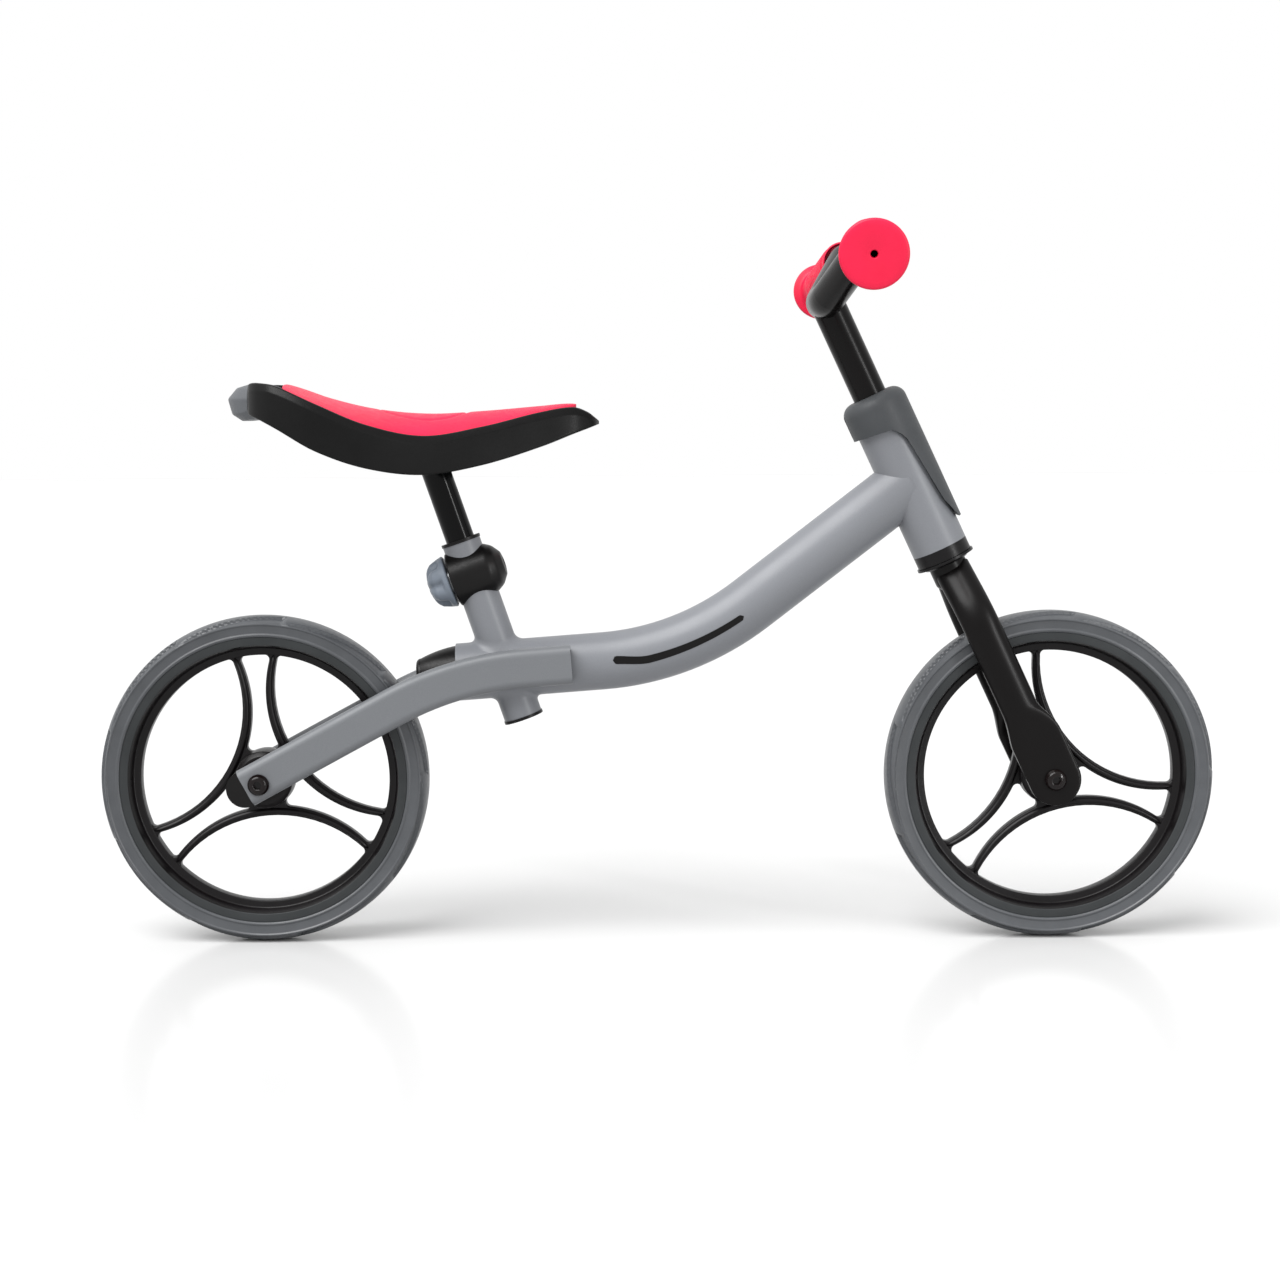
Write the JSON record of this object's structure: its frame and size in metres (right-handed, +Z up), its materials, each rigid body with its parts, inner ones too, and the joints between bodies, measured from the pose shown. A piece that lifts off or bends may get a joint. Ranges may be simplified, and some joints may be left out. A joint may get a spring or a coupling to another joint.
{
  "type": "balance bike",
  "caption": "Toddler balance bike: bent main tube over twin rear stays, spoked small wheels, telescoping saddle and handlebar, red grips and pad.",
  "frame": {"origin": "on the ground, in the middle plane, halfway between the two wheels", "axes": "+X forward, +Y to the rider's left, +Z up"},
  "size_m": [0.733, 0.4002, 0.4631],
  "materials": {
    "frame_paint": "satin silver-grey paint",
    "stay_paint": "satin mid-grey paint",
    "black_plastic": "fine-grained black",
    "cup_plastic": "smooth black",
    "cover_plastic": "dark grey, fine grain",
    "zinc_steel": "zinc plated",
    "black_screw": "glossy black",
    "knob_plastic": "light bluish grey",
    "black_paint": "gloss black paint",
    "fork_paint": "satin black paint",
    "stem_paint": "satin black paint",
    "shell_plastic": "fine-grained black",
    "pad_skin": "soft red skin",
    "grey_plastic": "mid grey",
    "grip_rubber": "soft red rubber",
    "rim_plastic": "black, satin gloss",
    "tyre": "grey foam rubber",
    "bearing_steel": "ground steel"
  },
  "bodies": {
    "frame": {"main_tube": "frame_paint", "head_tube": "frame_paint", "seat_tube": "frame_paint", "stay_left": "stay_paint", "stay_right": "stay_paint", "stay_plug_left": "black_plastic", "stay_plug_right": "black_plastic", "main_tube_end_cap": "black_plastic", "seat_bush_upper": "black_plastic", "seat_bush_lower": "black_plastic", "seat_clamp_body": "black_plastic", "clamp_bush": "zinc_steel", "lower_cup": "cup_plastic", "upper_cup": "cup_plastic", "head_cover": "cover_plastic", "cover_screw": "black_screw", "rear_inner_races": "bearing_steel", "rear_axle_spacers": "zinc_steel", "rear_axle_bolt": "black_screw", "rear_axle_nut": "black_screw"},
    "rear_wheel": {"rear_rim": "rim_plastic", "rear_tyre": "tyre", "rear_outer_races": "bearing_steel", "rear_bearing_balls": "bearing_steel"},
    "fork": {"crown_race": "fork_paint", "steerer": "fork_paint", "stem_collar": "zinc_steel", "stem_grub_screw": "black_screw", "fork_neck": "fork_paint", "fork_leg_left": "fork_paint", "fork_leg_right": "fork_paint", "front_inner_races": "bearing_steel", "front_axle_spacers": "zinc_steel", "front_axle_bolt": "black_screw", "front_axle_nut": "black_screw"},
    "front_wheel": {"front_rim": "rim_plastic", "front_tyre": "tyre", "front_outer_races": "bearing_steel", "front_bearing_balls": "bearing_steel"},
    "handlebar": {"stem": "stem_paint", "handlebar": "stem_paint", "grip_left": "grip_rubber", "grip_right": "grip_rubber"},
    "saddle": {"seat_post": "black_paint", "saddle_bracket": "zinc_steel", "saddle_screws": "zinc_steel", "saddle_shell": "shell_plastic", "saddle_pad": "pad_skin", "tail_grip": "grey_plastic"},
    "knob_carrier": {"knob_washer": "zinc_steel"},
    "knob": {"seat_knob": "knob_plastic", "clamp_screw": "zinc_steel"}
  },
  "joints": [
    {"name": "rear_wheel_spin", "type": "hinge", "parent": "frame", "child": "rear_wheel", "pos_m": [-0.2585, 0, 0.108], "axis": [0, 1, 0], "continuous": true},
    {"name": "steering", "type": "hinge", "parent": "frame", "child": "fork", "pos_m": [0.1862, 0, 0.2578], "axis": [-0.4207, 0, 0.9072], "range_deg": [-60, 60]},
    {"name": "front_wheel_spin", "type": "hinge", "parent": "fork", "child": "front_wheel", "pos_m": [0.2585, 0, 0.108], "axis": [0, 1, 0], "continuous": true},
    {"name": "handlebar_height", "type": "slide", "parent": "fork", "child": "handlebar", "axis": [-0.4207, 0, 0.9072], "range_m": [-0.03, 0.03]},
    {"name": "seat_height", "type": "slide", "parent": "frame", "child": "saddle", "axis": [-0.3239, 0, 0.9461], "range_m": [-0.03, 0.03]},
    {"name": "knob_travel", "type": "slide", "parent": "frame", "child": "knob_carrier", "axis": [-0.9461, 0, -0.3239], "range_m": [0, 0.0025]},
    {"name": "knob_turn", "type": "hinge", "parent": "knob_carrier", "child": "knob", "pos_m": [-0.12016, 0, 0.24245], "axis": [-0.9461, 0, -0.3239], "range_deg": [0, 720]}
  ],
  "couplings": [
    {"joint": "knob_turn", "follows": "knob_travel", "rad_per_m": 5026.5}
  ]
}
